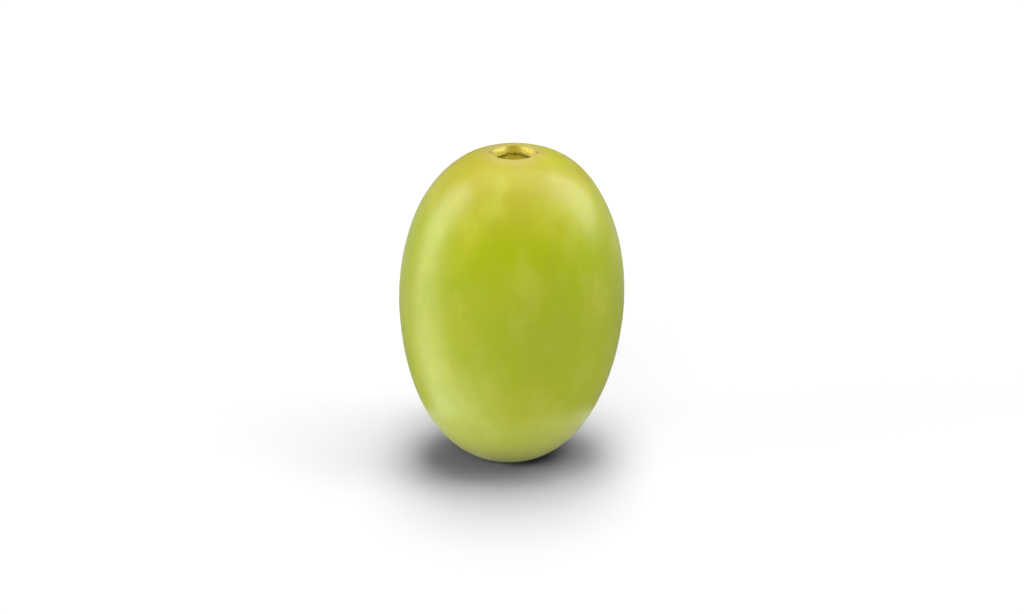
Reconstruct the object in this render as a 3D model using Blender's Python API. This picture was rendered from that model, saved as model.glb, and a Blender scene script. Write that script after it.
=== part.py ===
"""A green table grape: one berry, standing on the small flat spot at its blossom end.

Run it with: blender --background --python part.py
Metres, +Z up. The origin is the middle of the flat spot.
The berry grew as one piece, so it is one object. Its stem was pulled off and left a round pit on top.
"""

import math

import bmesh
import bpy
from mathutils import Matrix

# The body, before the flat spot and the stem pit are taken from it
BODY_DIAMETER = 0.0190
BODY_LENGTH = 0.0276
BODY_FULLNESS = 2.40  # exponent of the outline: 2 is an ellipse, and more is blunter
STEM_END_SWELL = 0.042  # share by which the body widens towards the stem end
DEPTH_OVER_WIDTH = 0.985  # berries press on their neighbours, so none is quite round
LEAN = 0.015  # sideways run of the body towards +X, per unit of height

# The flat spot it rests on
REST_RADIUS = 0.0022

# The pit that the stem left, with the sunken skin and the dry ring around it
PIT_RADIUS = 0.00185
PIT_DEPTH = 0.00090
PIT_WALL_RUN = 0.00030  # how far the wall slopes inwards on its way down
PIT_FLOOR_RISE = 0.00015  # the torn core stands a little proud in the middle
LIP_ROUND = 0.00016  # radius of the pit's rounded edge
SINK_DEPTH = 0.00015
SINK_RADIUS = 0.0034
DRY_RING_HEIGHT = 0.00005
DRY_RING_WIDTH = 0.00045

# How finely the surface is divided
SEGMENTS = 60
REST_RINGS = 2
BODY_RINGS = 36
LIP_RINGS = 3
FLOOR_RINGS = 3

SKIN_COLOUR = (0.396, 0.462, 0.032)  # yellow green, linear
SKIN_ROUGHNESS = 0.38

POLE = math.pi / 2


def body_radius(latitude):
    """Radius of the body's outline at a latitude: -POLE at the blossom end, POLE at the stem end."""
    fullness = math.cos(latitude) ** (2 / BODY_FULLNESS)
    return BODY_DIAMETER / 2 * fullness * (1 + STEM_END_SWELL * math.sin(latitude))


def body_height(latitude):
    return BODY_LENGTH / 2 * math.sin(latitude)


def latitude_of(radius, end):
    """Latitude where the outline has this radius, on one half: 1 for the stem end, -1 for the blossom end."""
    wide, narrow = 0.0, end * POLE
    for _ in range(50):
        middle = (wide + narrow) / 2
        if body_radius(middle) > radius:
            wide = middle
        else:
            narrow = middle
    return (wide + narrow) / 2


def stem_end_relief(radius):
    """How far the skin around the pit stands off the outline: sunken as a whole, raised in the dry ring."""
    sunken = SINK_DEPTH * math.exp(-((radius / SINK_RADIUS) ** 2))
    from_ring = (radius - PIT_RADIUS - LIP_ROUND) / DRY_RING_WIDTH
    return DRY_RING_HEIGHT * math.exp(-(from_ring**2)) - sunken


def rest_profile(height):
    """(radius, height) points across the flat spot, from its middle to just inside its rim."""
    return [(REST_RADIUS * ring / REST_RINGS, height) for ring in range(REST_RINGS)]


def skin_profile():
    """(radius, height) points of the skin, from the flat spot's rim up to where the pit's lip starts."""
    first = latitude_of(REST_RADIUS, -1)
    last = latitude_of(PIT_RADIUS + LIP_ROUND, 1)
    points = []
    for ring in range(BODY_RINGS + 1):
        latitude = first + (last - first) * ring / BODY_RINGS
        radius = body_radius(latitude)
        relief = stem_end_relief(radius) if latitude > 0 else 0
        points.append((radius, body_height(latitude) + relief))
    return points


def pit_profile(lip_height):
    """(radius, height) points over the lip, down the pit's wall and across its floor to the middle."""
    points = []
    for ring in range(1, LIP_RINGS + 1):
        turn = POLE * ring / LIP_RINGS
        radius = PIT_RADIUS + LIP_ROUND * (1 - math.sin(turn))
        points.append((radius, lip_height - LIP_ROUND * (1 - math.cos(turn))))
    floor_radius = PIT_RADIUS - PIT_WALL_RUN
    for ring in range(FLOOR_RINGS + 1):
        share = 1 - ring / FLOOR_RINGS
        rise = PIT_FLOOR_RISE * math.cos(POLE * share)
        points.append((floor_radius * share, lip_height - PIT_DEPTH + rise))
    return points


def spin_skin(mesh):
    """Turns the whole outline about Z into one closed surface."""
    skin = skin_profile()
    outline = rest_profile(skin[0][1]) + skin + pit_profile(skin[-1][1])
    points = [mesh.verts.new((radius, 0, height)) for radius, height in outline]
    edges = [mesh.edges.new(pair) for pair in zip(points, points[1:])]
    bmesh.ops.spin(
        mesh,
        geom=points + edges,
        axis=(0, 0, 1),
        angle=2 * math.pi,
        steps=SEGMENTS,
        use_merge=True,
    )
    bmesh.ops.remove_doubles(mesh, verts=mesh.verts, dist=1e-7)
    bmesh.ops.recalc_face_normals(mesh, faces=mesh.faces)


def stand_up(mesh):
    """Flattens the body front to back, sets its flat spot on Z = 0 and lets it lean from there."""
    flatten = Matrix.Scale(DEPTH_OVER_WIDTH, 4, (0, 1, 0))
    raise_up = Matrix.Translation((0, 0, -body_height(latitude_of(REST_RADIUS, -1))))
    lean = Matrix.Identity(4)
    lean[0][2] = LEAN
    bmesh.ops.transform(mesh, matrix=lean @ raise_up @ flatten, verts=mesh.verts)


def skin_material():
    material = bpy.data.materials.new("grape_skin")
    material.use_nodes = True
    shader = material.node_tree.nodes["Principled BSDF"]
    shader.inputs["Base Color"].default_value = (*SKIN_COLOUR, 1)
    shader.inputs["Roughness"].default_value = SKIN_ROUGHNESS
    shader.inputs["Metallic"].default_value = 0
    return material


def make_berry():
    mesh = bmesh.new()
    spin_skin(mesh)
    stand_up(mesh)
    data = bpy.data.meshes.new("berry")
    mesh.to_mesh(data)
    mesh.free()
    data.shade_smooth()
    data.set_sharp_from_angle(angle=math.radians(50))
    data.materials.append(skin_material())
    berry = bpy.data.objects.new("berry", data)
    bpy.context.scene.collection.objects.link(berry)


def main():
    for leftover in list(bpy.data.objects):
        bpy.data.objects.remove(leftover)
    make_berry()


main()
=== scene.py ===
import math
import random

import bmesh
import bpy
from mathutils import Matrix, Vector, noise


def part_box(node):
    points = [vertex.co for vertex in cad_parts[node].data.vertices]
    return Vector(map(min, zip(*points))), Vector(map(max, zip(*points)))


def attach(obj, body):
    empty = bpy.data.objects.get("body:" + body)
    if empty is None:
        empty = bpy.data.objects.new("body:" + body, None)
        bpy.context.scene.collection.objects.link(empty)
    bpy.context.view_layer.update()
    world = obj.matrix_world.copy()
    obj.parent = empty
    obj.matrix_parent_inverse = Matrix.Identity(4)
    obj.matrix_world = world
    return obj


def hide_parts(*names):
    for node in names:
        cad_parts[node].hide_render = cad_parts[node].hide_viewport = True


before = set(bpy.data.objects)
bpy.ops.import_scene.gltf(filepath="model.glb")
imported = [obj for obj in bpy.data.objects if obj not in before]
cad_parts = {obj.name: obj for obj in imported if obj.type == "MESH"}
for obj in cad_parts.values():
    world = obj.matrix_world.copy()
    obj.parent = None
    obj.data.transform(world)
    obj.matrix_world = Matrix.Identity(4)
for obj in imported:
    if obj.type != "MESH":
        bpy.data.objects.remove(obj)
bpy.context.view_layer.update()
mm = 0.001
print("frame loaded")


def linear(hexColour):
    # sRGB hex to the linear values that shaders and lights take
    channels = [int(hexColour[i:i + 2], 16) / 255 for i in (1, 3, 5)]
    return (*[c / 12.92 if c <= 0.04045 else ((c + 0.055) / 1.055) ** 2.4 for c in channels], 1.0)


def addNode(tree, kind, links=None, **settings):
    # links fills the sockets, with a value or with another node's socket
    node = tree.nodes.new(kind)
    for name, value in settings.items():
        setattr(node, name, value)
    for name, value in (links or {}).items():
        if isinstance(value, bpy.types.NodeSocket):
            tree.links.new(value, node.inputs[name])
        else:
            node.inputs[name].default_value = value
    return node


def newMaterial(name, finish):
    # finish holds what is the same all over the surface
    material = bpy.data.materials.new(name)
    material.use_nodes = True
    tree = material.node_tree
    shader = tree.nodes["Principled BSDF"]
    for socket, value in finish.items():
        shader.inputs[socket].default_value = value
    return material, tree, shader


def layColours(tree, base, layers, found):
    # lays each colour over the last one, where its pattern runs from start to full
    # 6, 7 and output 2 are the mix node's colour sockets
    colour = linear(base)
    for name, start, full, strength, cover in layers:
        mask = addNode(tree, "ShaderNodeMapRange", {
            "Value": found[name], "From Min": start, "From Max": full, "To Max": strength,
        }, interpolation_type="SMOOTHSTEP")
        colour = addNode(tree, "ShaderNodeMix", {
            0: mask.outputs["Result"], 6: colour, 7: linear(cover),
        }, data_type="RGBA").outputs[2]
    return colour


def newPiece(name, mesh):
    data = bpy.data.meshes.new(name)
    mesh.to_mesh(data)
    mesh.free()
    piece = bpy.data.objects.new(name, data)
    bpy.context.scene.collection.objects.link(piece)
    return piece


# ---- the berry's shape
berry = {
    "fullness": 2.40,  # exponent of the outline: 2 is an ellipse, and more is blunter
    "stemEndSwell": 0.042,  # share by which it widens towards the stem
    "lean": 0.015,  # sideways run per unit of height
    "hiddenLength": 0.016,  # share of the pole to pole length lost to the flat spot and the sunken top
    "restRadius": 2.2 * mm,
    "restRound": 0.10 * mm,  # how softly the skin turns into the flat spot
    "restFade": 6,  # how many times that height it takes to die away
    "sinkDepth": 0.15 * mm,  # skin drawn in around the pit
    "sinkRadius": 3.4 * mm,
    "dryRingHeight": 0.06 * mm,
    "dryRingWidth": 0.45 * mm,
    "swellings": [(9.0 * mm, 0.10 * mm), (3.2 * mm, 0.018 * mm)],  # (size, height) of uneven growth
    "swellingSeed": Vector((3.1, 7.7, 1.9)),
    "calmShare": 0.125,  # share of the skin, at each end, over which the growth calms down to the rim
    "segments": 288,
    "restRings": 12,
    "skinRings": 190,
}
pit = {
    "radius": 1.83 * mm,
    "depth": 0.84 * mm,
    "wallRun": 0.26 * mm,
    "lipRound": 0.10 * mm,
    "edgeWobble": 0.05 * mm,  # the skin tore unevenly
    "edgeWaves": [(2.2, 4.0, 1.0), (7.0, 9.0, 0.5)],  # (size, seed, share of the wobble)
    "footWobble": 0.5,  # share of the wobble left at the foot of the wall
    "lobes": [(134, 24, 0.40 * mm), (40, 30, 0.36 * mm), (250, 34, 0.12 * mm)],  # (degrees, width, depth)
    "lobeRise": 0.7,  # under 1, so that a lobe is thickest above the middle of the wall
    "coreHeight": 0.34 * mm,  # the torn core in the middle of the floor
    "coreRadius": 1.15 * mm,
    "roughness": 0.07 * mm,
    "roughSize": 0.35 * mm,
    "lipRings": 8,
    "wallRings": 14,
    "floorRings": 22,
}
quarter = math.pi / 2
low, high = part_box("berry")
halfWidth = (high.x - low.x) / 2
halfLength = (high.z - low.z) * (1 + berry["hiddenLength"]) / 2
pitPlace = Vector((berry["lean"] * high.z, 0, high.z))


def skinRadius(latitude):
    fullness = math.cos(latitude) ** (2 / berry["fullness"])
    return halfWidth * fullness * (1 + berry["stemEndSwell"] * math.sin(latitude))


def latitudeOf(radius, end):
    # end is 1 for the stem end and -1 for the blossom end
    wide, narrow = 0.0, end * quarter
    for _ in range(50):  # each step halves the gap
        middle = (wide + narrow) / 2
        if skinRadius(middle) > radius:
            wide = middle
        else:
            narrow = middle
    return (wide + narrow) / 2


def bump(value, centre, width):
    return math.exp(-(((value - centre) / width) ** 2))


def skinHeight(latitude):
    radius = skinRadius(latitude)
    height = halfLength * math.sin(latitude)
    if latitude > 0:
        height -= berry["sinkDepth"] * bump(radius, 0, berry["sinkRadius"])
        ringRadius = pit["radius"] + pit["lipRound"]
        height += berry["dryRingHeight"] * bump(radius, ringRadius, berry["dryRingWidth"])
    return height


def groundHeight():
    return skinHeight(latitudeOf(berry["restRadius"], -1))


def lipHeight():
    return skinHeight(latitudeOf(pit["radius"] + pit["lipRound"], 1))


def fleshHeight(radius):
    return lipHeight() - pit["depth"] + pit["coreHeight"] * bump(radius, 0, pit["coreRadius"])


def berryOutline():
    # (zone, share of the zone, radius, height) from the middle of the flat spot to the middle of the pit
    first = latitudeOf(berry["restRadius"], -1)
    last = latitudeOf(pit["radius"] + pit["lipRound"], 1)
    ground, lip = groundHeight(), lipHeight()
    points = []
    for ring in range(berry["restRings"]):
        share = ring / berry["restRings"]
        points.append(("rest", share, berry["restRadius"] * share, ground))
    for ring in range(berry["skinRings"] + 1):
        share = ring / berry["skinRings"]
        latitude = first + (last - first) * share
        points.append(("skin", share, skinRadius(latitude), skinHeight(latitude)))
    for ring in range(1, pit["lipRings"] + 1):
        share = ring / pit["lipRings"]
        turn = quarter * share
        radius = pit["radius"] + pit["lipRound"] * (1 - math.sin(turn))
        points.append(("lip", share, radius, lip - pit["lipRound"] * (1 - math.cos(turn))))
    wallTop = lip - pit["lipRound"]
    floor = lip - pit["depth"]
    for ring in range(1, pit["wallRings"] + 1):
        share = ring / pit["wallRings"]
        radius = pit["radius"] - pit["wallRun"] * share**2
        points.append(("wall", share, radius, wallTop + (floor - wallTop) * share))
    floorRadius = pit["radius"] - pit["wallRun"]
    for ring in range(1, pit["floorRings"] + 1):
        radius = floorRadius * (1 - ring / pit["floorRings"])
        points.append(("floor", 1 - radius / floorRadius, radius, fleshHeight(radius)))
    return points, ground


def aroundPit(angle, size, seed):
    # smooth noise that runs round the pit and meets itself
    return noise.noise(Vector((math.cos(angle) * size, math.sin(angle) * size, seed)))


def unevenGrowth(place):
    seed = berry["swellingSeed"]
    return sum(height * noise.noise(place / size + seed) for size, height in berry["swellings"])


def berryPoint(zone, share, radius, height, ground, angle):
    towards = Vector((math.cos(angle), math.sin(angle), 0))
    if zone == "skin":
        place = towards * radius + Vector((0, 0, height))
        outward = Vector((place.x / halfWidth**2, place.y / halfWidth**2, place.z / halfLength**2))
        outward.normalize()
        # the rims stay where they are
        calm = min(1, share / berry["calmShare"]) * min(1, (1 - share) / berry["calmShare"])
        place += outward * unevenGrowth(place) * calm
        radius, height = math.hypot(place.x, place.y), place.z
    if zone in ("lip", "wall"):
        torn = share if zone == "lip" else 1 - share * (1 - pit["footWobble"])
        for size, seed, part in pit["edgeWaves"]:
            radius += pit["edgeWobble"] * part * torn * aroundPit(angle, size, seed)
    if zone == "wall":
        for degrees, width, depth in pit["lobes"]:
            apart = (math.degrees(angle) - degrees + 180) % 360 - 180
            radius -= depth * bump(apart, 0, width) * math.sin(math.pi * share ** pit["lobeRise"])
    if zone in ("wall", "floor"):
        spot = towards * radius / pit["roughSize"] + Vector((0, 0, height / pit["roughSize"]))
        height += pit["roughness"] * noise.noise(spot) * (share if zone == "wall" else 1)
    height -= ground
    if zone == "skin":
        # the skin turns softly into the flat spot
        turn = max(height, 0) / berry["restRound"]
        height = berry["restRound"] * (turn - (1 - math.exp(-turn)) * math.exp(-turn / berry["restFade"]))
    depthOverWidth = (high.y - low.y) / (high.x - low.x)
    return Vector((towards.x * radius + berry["lean"] * height, towards.y * radius * depthOverWidth, height))


# the bake map: the skin unrolls to a band, and the two ends lie flat beside it as discs
bakeMap = {
    "edge": 0.01,
    "bandHeight": 0.60,
    "discRadius": 0.17,
    "rest": Vector((0.20, 0.81)),
    "pit": Vector((0.60, 0.81)),
}


def bakePlace(end, share, turn):
    if end == "skin":
        wide = 1 - 2 * bakeMap["edge"]
        return Vector((bakeMap["edge"] + wide * turn, bakeMap["edge"] + bakeMap["bandHeight"] * share))
    angle = 2 * math.pi * turn
    return bakeMap[end] + Vector((math.cos(angle), math.sin(angle))) * bakeMap["discRadius"] * share


def bakeShares(outline):
    # for each end, how far across it each ring lies, measured along the outline
    runs = [0.0]
    for before, after in zip(outline, outline[1:]):
        runs.append(runs[-1] + math.dist(before[2:], after[2:]))
    first, last = runs[berry["restRings"]], runs[berry["restRings"] + berry["skinRings"]]
    return {
        "rest": [run / first for run in runs],
        "skin": [(run - first) / (last - first) for run in runs],
        "pit": [(runs[-1] - run) / (runs[-1] - last) for run in runs],
    }


def buildBerry():
    outline, ground = berryOutline()
    shares = bakeShares(outline)
    mesh = bmesh.new()
    bakeLayer = mesh.loops.layers.uv.new("OFBake")
    segments = berry["segments"]
    restEnd = berry["restRings"]
    skinEnd = restEnd + berry["skinRings"]
    rings = []
    for zone, share, radius, height in outline:
        if radius < 1e-9:
            rings.append([mesh.verts.new(berryPoint(zone, share, 0, height, ground, 0))])
            continue
        angles = [quarter + 2 * math.pi * step / segments for step in range(segments)]
        places = [berryPoint(zone, share, radius, height, ground, angle) for angle in angles]
        rings.append([mesh.verts.new(place) for place in places])
    for index in range(len(rings) - 1):
        below, above = rings[index], rings[index + 1]
        inPit = outline[index + 1][0] in ("wall", "floor")
        end = "rest" if index < restEnd else "skin" if index < skinEnd else "pit"
        for step in range(segments):
            # the first and last rings are one point, where the faces are triangles
            corners = [(index, step), (index, step + 1), (index + 1, step + 1), (index + 1, step)]
            if len(below) == 1:
                corners.pop(1)
            elif len(above) == 1:
                corners.pop(3)
            face = mesh.faces.new([rings[ring][turn % len(rings[ring])] for ring, turn in corners])
            face.material_index = 1 if inPit else 0
            face.smooth = True
            for loop, (ring, turn) in zip(face.loops, corners):
                loop[bakeLayer].uv = bakePlace(end, shares[end][ring], turn / segments)
    bmesh.ops.recalc_face_normals(mesh, faces=mesh.faces)
    return newPiece("grapeBerry", mesh)


grapeBerry = buildBerry()
print("berry built:", len(grapeBerry.data.polygons), "faces")

# ---- ripe grape skin, as grown: a thin waxed skin over wet flesh
# it shines softly, and light goes a little way into it
skin = {
    "flank": "#C3D108",
    "roughness": 0.30,
    "bloomRoughness": 0.10,  # more where the wax lies thick
    "grainHeight": 0.003 * mm,
    "finish": {
        "IOR": 1.45,
        "Specular IOR Level": 0.9,  # a smooth coat of wax
        "Sheen Weight": 0.28,  # the bloom on the wax, which pales the edges
        "Sheen Roughness": 0.4,
        "Subsurface Weight": 0.45,
        "Subsurface Radius": (1.0, 0.9, 0.25),  # blue light gets the least far
        "Subsurface Scale": 1.2 * mm,  # how far light travels in the flesh
    },
    # name: (feature size, stretch along the berry, detail)
    "patterns": {
        "clouds": (3.0 * mm, 1.4, 3.0),
        "patches": (4.6 * mm, 1.2, 2.0),
        "ringEdge": (0.45 * mm, 1.0, 3.0),
        "grain": (0.30 * mm, 1.0, 2.0),
    },
    "seedStep": 3.7,  # keeps the patterns apart
    "veinsRound": 6.0,  # about 38 veins run from end to end
    "veinSpan": 14 * mm,
    "speckSpacing": 2.6 * mm,
    "speckRadius": 0.09 * mm,  # real ones are half as wide, and wouldn't show
    # name: (where it lies from the middle of the pit's rim, how ragged in millimetres)
    "marks": {
        "pitDistance": (Vector(), 1.8),
        "lipDistance": (Vector(), 0.2),
        # the next two are painted shade in the folds at the corners of the pit's rim
        "leftRimShade": (Vector((-1.80, -0.06, 0)) * mm, 0.5),
        "rightRimShade": (Vector((1.80, -0.12, 0)) * mm, 0.5),
        "fleckDistance": (Vector((3.34, -7.06, -4.85)) * mm, 0.1),
        "styleDistance": (-pitPlace, 0.4),
    },
    # colour laid over the flank: (pattern, where it starts, where it is full, how strong, colour)
    "layers": [
        ("height", 0.29, 0.02, 1.0, "#D2D944"),  # blossom end, paler towards the foot: partly its own tone, partly painted light thrown up from the paper
        ("height", 0.76, 0.98, 0.90, "#CBC134"),  # stem end
        ("patches", 0.44, 0.64, 0.45, "#D6DA30"),  # riper and yellower
        ("clouds", 0.48, 0.70, 0.44, "#DBE04C"),  # wax and paler flesh
        ("veins", 0.035, 0.0, 0.05, "#DDE07A"),
        ("specks", 1.0, 0.7, 0.35, "#8A7A26"),
        ("pitDistance", 3.4, 1.9, 0.75, "#D9C670"),  # dry skin around the pit
        ("lipDistance", 1.97, 1.86, 0.25, "#94762A"),
        ("leftRimShade", 0.50, 0.05, 0.75, "#84661E"),  # painted shade in the folds at the two corners of the pit's rim
        ("rightRimShade", 0.48, 0.05, 0.70, "#84661E"),
        ("fleckDistance", 0.22, 0.04, 0.16, "#7A7420"),
        ("styleDistance", 0.62, 0.38, 0.85, "#6B4E2C"),  # where the flower's style was
    ],
}


def ripeGrapeSkin():
    material, tree, shader = newMaterial("ripeGrapeSkinWaxed", skin["finish"])
    place = addNode(tree, "ShaderNodeTexCoord").outputs["Object"]
    split = addNode(tree, "ShaderNodeSeparateXYZ", {"Vector": place})
    found = {}
    for seed, (name, (size, stretch, detail)) in enumerate(skin["patterns"].items()):
        scale = (1 / size, 1 / size, 1 / size / stretch)
        scaled = addNode(tree, "ShaderNodeVectorMath", {0: place, 1: scale}, operation="MULTIPLY")
        found[name] = addNode(tree, "ShaderNodeTexNoise", {
            "Vector": scaled.outputs["Vector"], "W": seed * skin["seedStep"], "Scale": 1.0, "Detail": detail,
        }, noise_dimensions="4D").outputs["Fac"]
    found["height"] = addNode(tree, "ShaderNodeMath", {
        0: split.outputs["Z"], 1: high.z - low.z,
    }, operation="DIVIDE").outputs["Value"]
    # distances in millimetres, made ragged by the edge pattern
    for name, (fromRim, ragged) in skin["marks"].items():
        away = addNode(tree, "ShaderNodeVectorMath", {0: place, 1: pitPlace + fromRim}, operation="DISTANCE")
        edge = addNode(tree, "ShaderNodeMath", {
            0: found["ringEdge"], 1: ragged, 2: -ragged / 2,
        }, operation="MULTIPLY_ADD")
        found[name] = addNode(tree, "ShaderNodeMath", {
            0: away.outputs["Value"], 1: 1 / mm, 2: edge.outputs["Value"],
        }, operation="MULTIPLY_ADD").outputs["Value"]
    # veins keep their angle round the axis, so they run from end to end
    flat = addNode(tree, "ShaderNodeVectorMath", {0: place, 1: (1, 1, 0)}, operation="MULTIPLY")
    around = addNode(tree, "ShaderNodeVectorMath", {0: flat.outputs["Vector"]}, operation="NORMALIZE")
    turned = addNode(tree, "ShaderNodeVectorMath", {
        0: around.outputs["Vector"], 1: (skin["veinsRound"],) * 3,
    }, operation="MULTIPLY")
    risen = addNode(tree, "ShaderNodeVectorMath", {
        0: place, 1: (0, 0, 1 / skin["veinSpan"]), 2: turned.outputs["Vector"],
    }, operation="MULTIPLY_ADD")
    bundle = addNode(tree, "ShaderNodeTexNoise", {
        "Vector": risen.outputs["Vector"], "Scale": 1.0, "Detail": 1.0,
    })
    fromMiddle = addNode(tree, "ShaderNodeMath", {0: bundle.outputs["Fac"], 1: 0.5}, operation="SUBTRACT")
    found["veins"] = addNode(tree, "ShaderNodeMath", {
        0: fromMiddle.outputs["Value"],
    }, operation="ABSOLUTE").outputs["Value"]
    # one speck in each cell, with distance measured in its radius
    cells = addNode(tree, "ShaderNodeTexVoronoi", {"Vector": place, "Scale": 1 / skin["speckSpacing"]})
    found["specks"] = addNode(tree, "ShaderNodeMath", {
        0: cells.outputs["Distance"], 1: skin["speckSpacing"] / skin["speckRadius"],
    }, operation="MULTIPLY").outputs["Value"]
    tree.links.new(layColours(tree, skin["flank"], skin["layers"], found), shader.inputs["Base Color"])
    rough = addNode(tree, "ShaderNodeMath", {
        0: found["clouds"], 1: skin["bloomRoughness"], 2: skin["roughness"],
    }, operation="MULTIPLY_ADD")
    tree.links.new(rough.outputs["Value"], shader.inputs["Roughness"])
    relief = addNode(tree, "ShaderNodeBump", {
        "Height": found["grain"], "Distance": skin["grainHeight"], "Strength": 0.5,
    })
    tree.links.new(relief.outputs["Normal"], shader.inputs["Normal"])
    return material


# ---- grape flesh, torn off with the stem: wet, so it is rough in shape and glossy
flesh = {
    "torn": "#F2DF62",
    "finish": {
        "IOR": 1.38,  # mostly water
        "Roughness": 0.22,
        "Subsurface Weight": 0.4,
        "Subsurface Radius": (1.0, 0.9, 0.25),
        "Subsurface Scale": 0.5 * mm,
    },
    "tearSize": 0.22 * mm,
    "tearHeight": 0.02 * mm,
    "ragged": 0.4,  # how uneven the tears make the edges of the colours, in millimetres
    "hollowShade": Vector((0, 1.75, -0.55)) * mm,  # where the painted shade between the lobes lies, from the middle of the pit's rim
    # colour laid over it: (pattern, where it starts, where it is full, how strong, colour)
    "layers": [
        ("tear", 0.45, 0.65, 0.35, "#D9C038"),
        ("hollowShade", 1.00, 0.35, 0.65, "#BBA62A"),  # painted shade in the hollow between the two lobes
        ("core", 1.45, 1.15, 0.90, "#94840F"),
        ("depthShade", 0.54, 0.76, 1.00, "#806E02"),  # painted shade, darker with depth towards the bottom of the pit
    ],
}


def tornGrapeFlesh():
    material, tree, shader = newMaterial("tornGrapeFleshWet", flesh["finish"])
    place = addNode(tree, "ShaderNodeTexCoord").outputs["Object"]
    along = addNode(tree, "ShaderNodeSeparateXYZ", {"Vector": place}).outputs["Z"]
    tear = addNode(tree, "ShaderNodeTexNoise", {
        "Vector": place, "Scale": 1 / flesh["tearSize"], "Detail": 3.0,
    })
    found = {"tear": tear.outputs["Fac"]}
    # depths and distances in millimetres, made ragged by the tears
    ragged = addNode(tree, "ShaderNodeMath", {
        0: tear.outputs["Fac"], 1: flesh["ragged"], 2: -flesh["ragged"] / 2,
    }, operation="MULTIPLY_ADD").outputs["Value"]
    depth = addNode(tree, "ShaderNodeMath", {
        0: along, 1: -1 / mm, 2: (high.z - low.z) / mm,
    }, operation="MULTIPLY_ADD")
    # painted shade that grows with depth below the top
    found["depthShade"] = addNode(tree, "ShaderNodeMath", {
        0: depth.outputs["Value"], 1: ragged,
    }, operation="ADD").outputs["Value"]
    centres = [("core", pitPlace, (1, 1, 0)), ("hollowShade", pitPlace + flesh["hollowShade"], (1, 1, 1))]
    for name, centre, across in centres:
        apart = addNode(tree, "ShaderNodeVectorMath", {
            0: place, 1: across, 2: -centre * Vector(across),
        }, operation="MULTIPLY_ADD")
        away = addNode(tree, "ShaderNodeVectorMath", {0: apart.outputs["Vector"]}, operation="LENGTH")
        found[name] = addNode(tree, "ShaderNodeMath", {
            0: away.outputs["Value"], 1: 1 / mm, 2: ragged,
        }, operation="MULTIPLY_ADD").outputs["Value"]
    tree.links.new(layColours(tree, flesh["torn"], flesh["layers"], found), shader.inputs["Base Color"])
    relief = addNode(tree, "ShaderNodeBump", {
        "Height": found["tear"], "Distance": flesh["tearHeight"], "Strength": 0.6,
    })
    tree.links.new(relief.outputs["Normal"], shader.inputs["Normal"])
    return material


# ---- the threads that fed the berry, snapped off a little above the flesh and dried
fibres = {
    "count": 9,
    "ringRadius": 0.66 * mm,
    "ringSpread": (0.5, 1.15),  # shares of the ring's radius
    "angleJitter": 0.3,  # share of the gap between two of them
    "lengths": (0.08 * mm, 0.20 * mm),  # from the flesh to the tip
    "rooted": 0.12 * mm,  # below the flesh
    "radius": 0.05 * mm,
    "taper": 0.55,  # share of the radius lost at the tip
    "tilt": 0.4,
    "curl": 0.4,
    "sides": 8,
    "rings": 7,
    "seed": 4,
    "colour": "#D2BE5A",
    "oldColour": "#A8903A",
    "streakSize": 0.06 * mm,
    "streakHeight": 0.01 * mm,
    "finish": {"Roughness": 0.6},
}


def addFibre(mesh, root, rise, curl, length):
    side = rise.orthogonal().normalized()
    across = rise.cross(side)
    turns = [2 * math.pi * step / fibres["sides"] for step in range(fibres["sides"])]
    rings = []
    for ring in range(fibres["rings"]):
        share = ring / (fibres["rings"] - 1)
        middle = root + (rise + curl * share) * length * share
        radius = fibres["radius"] * (1 - fibres["taper"] * share)
        around = [side * math.cos(turn) + across * math.sin(turn) for turn in turns]
        rings.append([mesh.verts.new(middle + towards * radius) for towards in around])
    for below, above in zip(rings, rings[1:]):
        for step in range(fibres["sides"]):
            after = (step + 1) % fibres["sides"]
            mesh.faces.new([below[step], below[after], above[after], above[step]]).smooth = True
    mesh.faces.new(rings[0][::-1])
    mesh.faces.new(rings[-1])


def buildFibres():
    random.seed(fibres["seed"])
    ground = groundHeight()
    tilt, jitter = fibres["tilt"], fibres["angleJitter"]
    mesh = bmesh.new()
    for index in range(fibres["count"]):
        angle = 2 * math.pi * (index + random.uniform(-jitter, jitter)) / fibres["count"]
        outward = fibres["ringRadius"] * random.uniform(*fibres["ringSpread"])
        onFlesh = berryPoint("floor", 0, outward, fleshHeight(outward), ground, angle)
        rise = Vector((random.uniform(-tilt, tilt), random.uniform(-tilt, tilt), 1)).normalized()
        curl = Vector((random.uniform(-1, 1), random.uniform(-1, 1), 0)) * fibres["curl"]
        length = fibres["rooted"] + random.uniform(*fibres["lengths"])
        addFibre(mesh, onFlesh - Vector((0, 0, fibres["rooted"])), rise, curl, length)
    return newPiece("tornFibres", mesh)


def driedGrapeFibre():
    # dried plant thread is matt and straw coloured, with browner streaks
    material, tree, shader = newMaterial("driedGrapeFibreMatt", fibres["finish"])
    place = addNode(tree, "ShaderNodeTexCoord").outputs["Object"]
    streaks = addNode(tree, "ShaderNodeTexNoise", {
        "Vector": place, "Scale": 1 / fibres["streakSize"], "Detail": 2.0,
    }).outputs["Fac"]
    colour = addNode(tree, "ShaderNodeMix", {
        0: streaks, 6: linear(fibres["colour"]), 7: linear(fibres["oldColour"]),
    }, data_type="RGBA")
    tree.links.new(colour.outputs[2], shader.inputs["Base Color"])
    relief = addNode(tree, "ShaderNodeBump", {
        "Height": streaks, "Distance": fibres["streakHeight"], "Strength": 0.5,
    })
    tree.links.new(relief.outputs["Normal"], shader.inputs["Normal"])
    return material


tornFibres = buildFibres()
tornFibres.data.materials.append(driedGrapeFibre())
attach(tornFibres, "root")
grapeBerry.data.materials.append(ripeGrapeSkin())
grapeBerry.data.materials.append(tornGrapeFlesh())
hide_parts("berry")
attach(grapeBerry, "root")
print("materials made")

# ---- floor
floorSheet = {
    "reach": 2.1,  # from the middle to a corner
    "shinePatch": 11 * mm,  # radius of the paper that shows in the berry's gloss
    "shineSides": 48,
    "finish": {"Base Color": linear("#F4F4F4"), "Roughness": 0.9, "Specular IOR Level": 0.0},
}


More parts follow.
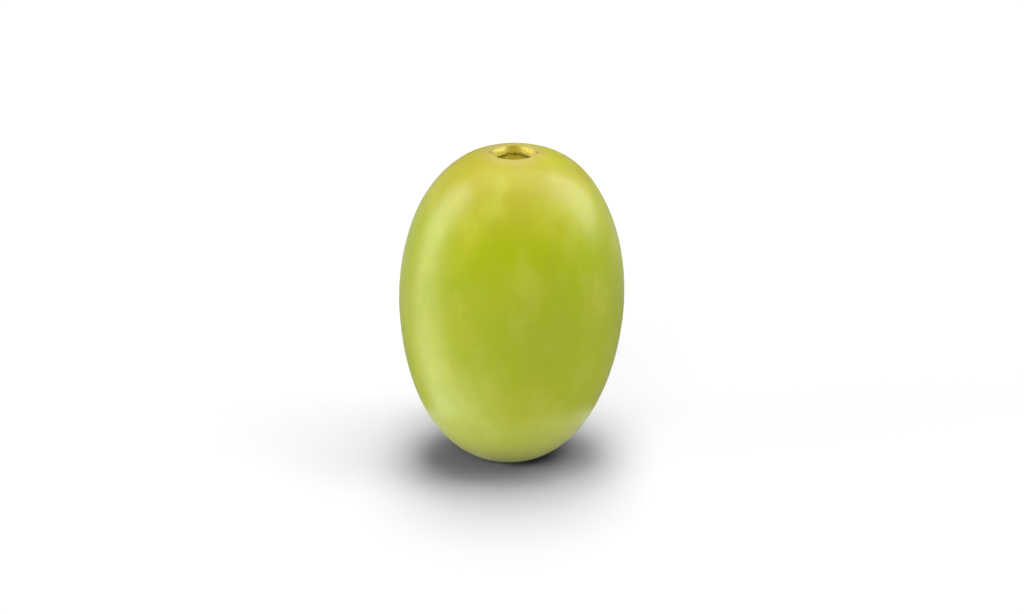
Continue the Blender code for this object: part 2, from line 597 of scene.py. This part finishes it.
def buildFloor():
    # uncoated paper, which is matt
    material = newMaterial("whiteMattPaper", floorSheet["finish"])[0]
    pieces = []
    shapes = [
        ("floorPaper", 4, floorSheet["reach"]),
        ("floorShine", floorSheet["shineSides"], floorSheet["shinePatch"]),
    ]
    for name, corners, radius in shapes:
        mesh = bmesh.new()
        bmesh.ops.create_circle(mesh, cap_ends=True, segments=corners, radius=radius)
        piece = newPiece(name, mesh)
        piece.data.materials.append(material)
        piece.visible_shadow = False
        pieces.append(piece)
    # the low strip lights lie under the floor, so only the patch under the berry shows in its gloss
    paper, patch = pieces
    paper.visible_glossy = False
    patch.visible_camera = patch.visible_diffuse = patch.visible_transmission = False


buildFloor()
grapeBerry.visible_diffuse = False  # no green cast on the paper

# ---- light: directions are degrees round from the camera's side, to the right, and degrees above the floor
aim = (low + high) / 2
lights = {
    "distance": 0.40,
    # broad and soft, for colour and shadow: name, round, above, spread in degrees, strength
    "soft": [
        ("softTop", 0, 90, 26, 1.0),
        ("softBackTop", 180, 70, 26, 0.9),
        ("softFrontTop", 0, 72, 26, 0.4),
        ("softRightTop", 85, 68, 26, 0.4),
        ("softRightHigh", 75, 48, 22, 0.3),
        ("softBackHigh", 180, 48, 26, 0.3),
        ("softBackRight", 135, 50, 22, 0.15),
        ("softLeftLow", -75, 15, 30, 0.7),
        ("softRightLow", 90, 12, 30, 0.15),
        ("softFront", -20, 38, 30, 0.4),
        ("softBounce", -85, -45, 50, 0.3),  # thrown back up by the paper
    ],
    # seen only in the gloss: name, round, above, width, height, brightness, with the sizes in degrees
    "strips": [
        ("stripLeft", -102, 27, 31, 46, 2.9),
        ("stripLeftLow", -96, -26, 38, 60, 1.5),
        ("stripLeftFoot", -75, -58, 60, 24, 0.9),
        ("stripRight", 109, 34, 38, 48, 2.9),
        ("stripTop", 180, 78, 60, 44, 1.1),
        ("stripFront", 0, 60, 90, 40, 0.25),
    ],
}


def addLamp(name, kind, roundTo, above, **settings):
    turn, rise = math.radians(roundTo), math.radians(above)
    away = Vector((math.sin(turn) * math.cos(rise), -math.cos(turn) * math.cos(rise), math.sin(rise)))
    light = bpy.data.lights.new(name, kind)
    for setting, value in settings.items():
        setattr(light, setting, value)
    lamp = bpy.data.objects.new(name, light)
    lamp.location = aim + away * lights["distance"]
    lamp.rotation_mode = "QUATERNION"
    lamp.rotation_quaternion = away.to_track_quat("Z", "Y")
    bpy.context.scene.collection.objects.link(lamp)
    return lamp


for name, roundTo, above, spread, strength in lights["soft"]:
    lamp = addLamp(name, "SUN", roundTo, above, angle=math.radians(spread), energy=strength)
    lamp.visible_glossy = False
    # the berry is hidden from the rays that this would use
    lamp.data.cycles.use_multiple_importance_sampling = False
for name, roundTo, above, wide, tall, brightness in lights["strips"]:
    width, height = (2 * lights["distance"] * math.tan(math.radians(size) / 2) for size in (wide, tall))
    # a flat lamp of this brightness gives off pi times its area
    lamp = addLamp(name, "AREA", roundTo, above, shape="RECTANGLE", size=width, size_y=height,
                   energy=brightness * math.pi * width * height)
    lamp.visible_diffuse = False
    lamp.visible_transmission = False
world = bpy.data.worlds.new("whiteStudio")
bpy.context.scene.world = world
world.use_nodes = True
world.node_tree.nodes["Background"].inputs["Color"].default_value = (1, 1, 1, 1)
world.node_tree.nodes["Background"].inputs["Strength"].default_value = 1.0
# a white wall that the camera sees and that gives no light
for rays in ("diffuse", "glossy", "transmission", "scatter"):
    setattr(world.cycles_visibility, rays, False)
bpy.context.scene.view_settings.view_transform = "Standard"

# ---- camera
shot = {
    "above": 22,  # degrees
    "distance": 0.3803,
    "lens": 158.2,
    "aimRight": 0.05 * mm,
    "aimDown": 0.32 * mm,
    "nearest": 10 * mm,
}


def addCamera():
    rise = math.radians(shot["above"])
    back = Vector((0, -math.cos(rise), math.sin(rise)))
    up = Vector((0, math.sin(rise), math.cos(rise)))
    data = bpy.data.cameras.new("camera")
    data.lens = shot["lens"]
    data.clip_start = shot["nearest"]
    camera = bpy.data.objects.new("camera", data)
    target = aim + Vector((shot["aimRight"], 0, 0)) - up * shot["aimDown"]
    camera.location = target + back * shot["distance"]
    camera.rotation_mode = "QUATERNION"
    camera.rotation_quaternion = back.to_track_quat("Z", "Y")
    bpy.context.scene.collection.objects.link(camera)
    bpy.context.scene.camera = camera


addCamera()
print("light and camera set")
